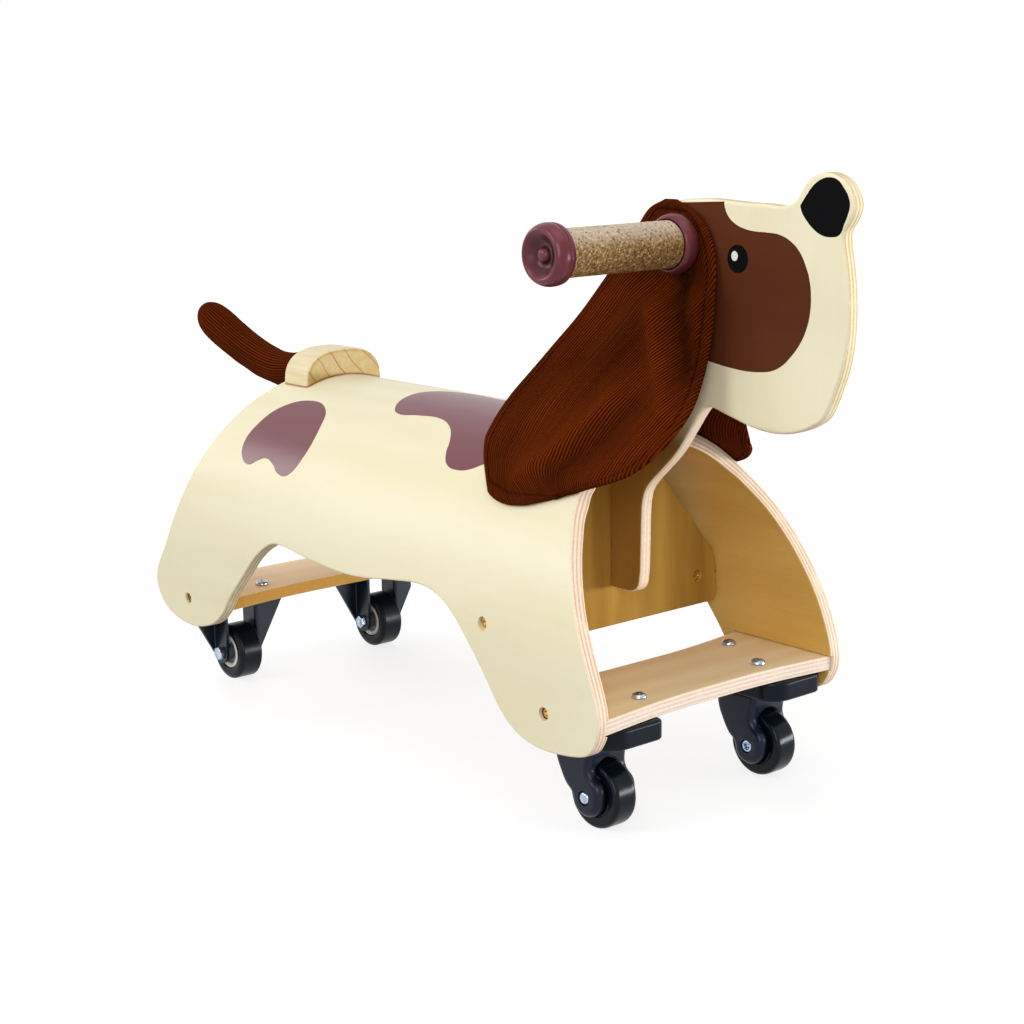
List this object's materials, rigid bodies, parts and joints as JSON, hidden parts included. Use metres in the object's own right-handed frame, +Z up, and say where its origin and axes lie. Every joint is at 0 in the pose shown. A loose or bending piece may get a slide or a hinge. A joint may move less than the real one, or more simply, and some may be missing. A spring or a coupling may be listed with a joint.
{
  "type": "ride-on toy",
  "caption": "Ride-on toy dog: bent plywood arch body on casters, flat head board with a cork handlebar, corduroy ears and tail.",
  "frame": {"origin": "on the floor under the middle of the toy's overall length and width, tail and head included", "axes": "+X ahead to the nose, +Y to the dog's left, +Z up"},
  "size_m": [0.7309, 0.2536, 0.4185],
  "materials": {
    "arch_plywood": "clear satin lacquer with purple-brown printed patches",
    "board_plywood": "clear satin lacquer",
    "head_plywood": "clear satin lacquer with a painted face",
    "pine": "satin lacquer",
    "hardwood": "plain",
    "cork": "raw agglomerated cork",
    "corduroy": "ribbed cotton corduroy",
    "purple_brown_plastic": "satin",
    "black_plastic": "satin black",
    "black_rubber": "smooth black rubber",
    "hub_plastic": "pale grey",
    "black_steel": "black powder coat",
    "zinc_steel": "bright zinc",
    "brass_steel": "yellow zinc"
  },
  "bodies": {
    "body": {"body_shell": "arch_plywood", "front_board": "board_plywood", "rear_board": "board_plywood", "bulkhead": "board_plywood", "head_board": "head_plywood", "back_block": "pine", "tail": "corduroy", "tail_peg": "hardwood", "ear_left": "corduroy", "ear_right": "corduroy", "handle_rod": "hardwood", "grip_left": "cork", "grip_cap_left": "purple_brown_plastic", "grip_collar_left": "purple_brown_plastic", "front_base_left": "black_plastic", "kingpin_left": "zinc_steel", "rear_fork_left": "black_steel", "rear_bolt_left": "zinc_steel", "rear_nut_left": "zinc_steel", "front_screw_front_left": "zinc_steel", "front_screw_back_left": "zinc_steel", "rear_screw_front_left": "zinc_steel", "rear_screw_back_left": "zinc_steel", "side_bolt_front_left": "brass_steel", "side_bolt_mid_left": "brass_steel", "side_bolt_rear_left": "brass_steel", "barrel_nut_front_left": "zinc_steel", "barrel_nut_mid_left": "brass_steel", "barrel_nut_rear_left": "zinc_steel", "grip_right": "cork", "grip_cap_right": "purple_brown_plastic", "grip_collar_right": "purple_brown_plastic", "front_base_right": "black_plastic", "kingpin_right": "zinc_steel", "rear_fork_right": "black_steel", "rear_bolt_right": "zinc_steel", "rear_nut_right": "zinc_steel", "front_screw_front_right": "zinc_steel", "front_screw_back_right": "zinc_steel", "rear_screw_front_right": "zinc_steel", "rear_screw_back_right": "zinc_steel", "side_bolt_front_right": "brass_steel", "side_bolt_mid_right": "brass_steel", "side_bolt_rear_right": "brass_steel", "barrel_nut_front_right": "zinc_steel", "barrel_nut_mid_right": "brass_steel", "barrel_nut_rear_right": "zinc_steel", "neck_screw_low": "zinc_steel", "neck_screw_high": "zinc_steel", "block_screw": "zinc_steel"},
    "front_swivel_left": {"front_fork_left": "black_plastic", "front_axle_left": "zinc_steel"},
    "front_wheel_left_body": {"front_wheel_left": "black_plastic"},
    "rear_wheel_left_body": {"rear_tyre_left": "black_rubber", "rear_hub_left": "hub_plastic"},
    "front_swivel_right": {"front_fork_right": "black_plastic", "front_axle_right": "zinc_steel"},
    "front_wheel_right_body": {"front_wheel_right": "black_plastic"},
    "rear_wheel_right_body": {"rear_tyre_right": "black_rubber", "rear_hub_right": "hub_plastic"}
  },
  "joints": [
    {"name": "front_swivel_left", "type": "hinge", "parent": "body", "child": "front_swivel_left", "pos_m": [0.2173, 0.0756, 0.0615], "axis": [0, 0, 1], "continuous": true},
    {"name": "front_wheel_spin_left", "type": "hinge", "parent": "front_swivel_left", "child": "front_wheel_left_body", "pos_m": [0.2283, 0.0756, 0.0225], "axis": [0, 1, 0], "continuous": true},
    {"name": "rear_wheel_spin_left", "type": "hinge", "parent": "body", "child": "rear_wheel_left_body", "pos_m": [-0.2171, 0.0708, 0.0225], "axis": [0, 1, 0], "continuous": true},
    {"name": "front_swivel_right", "type": "hinge", "parent": "body", "child": "front_swivel_right", "pos_m": [0.2173, -0.0756, 0.0615], "axis": [0, 0, 1], "continuous": true},
    {"name": "front_wheel_spin_right", "type": "hinge", "parent": "front_swivel_right", "child": "front_wheel_right_body", "pos_m": [0.2283, -0.0756, 0.0225], "axis": [0, 1, 0], "continuous": true},
    {"name": "rear_wheel_spin_right", "type": "hinge", "parent": "body", "child": "rear_wheel_right_body", "pos_m": [-0.2171, -0.0708, 0.0225], "axis": [0, 1, 0], "continuous": true}
  ]
}
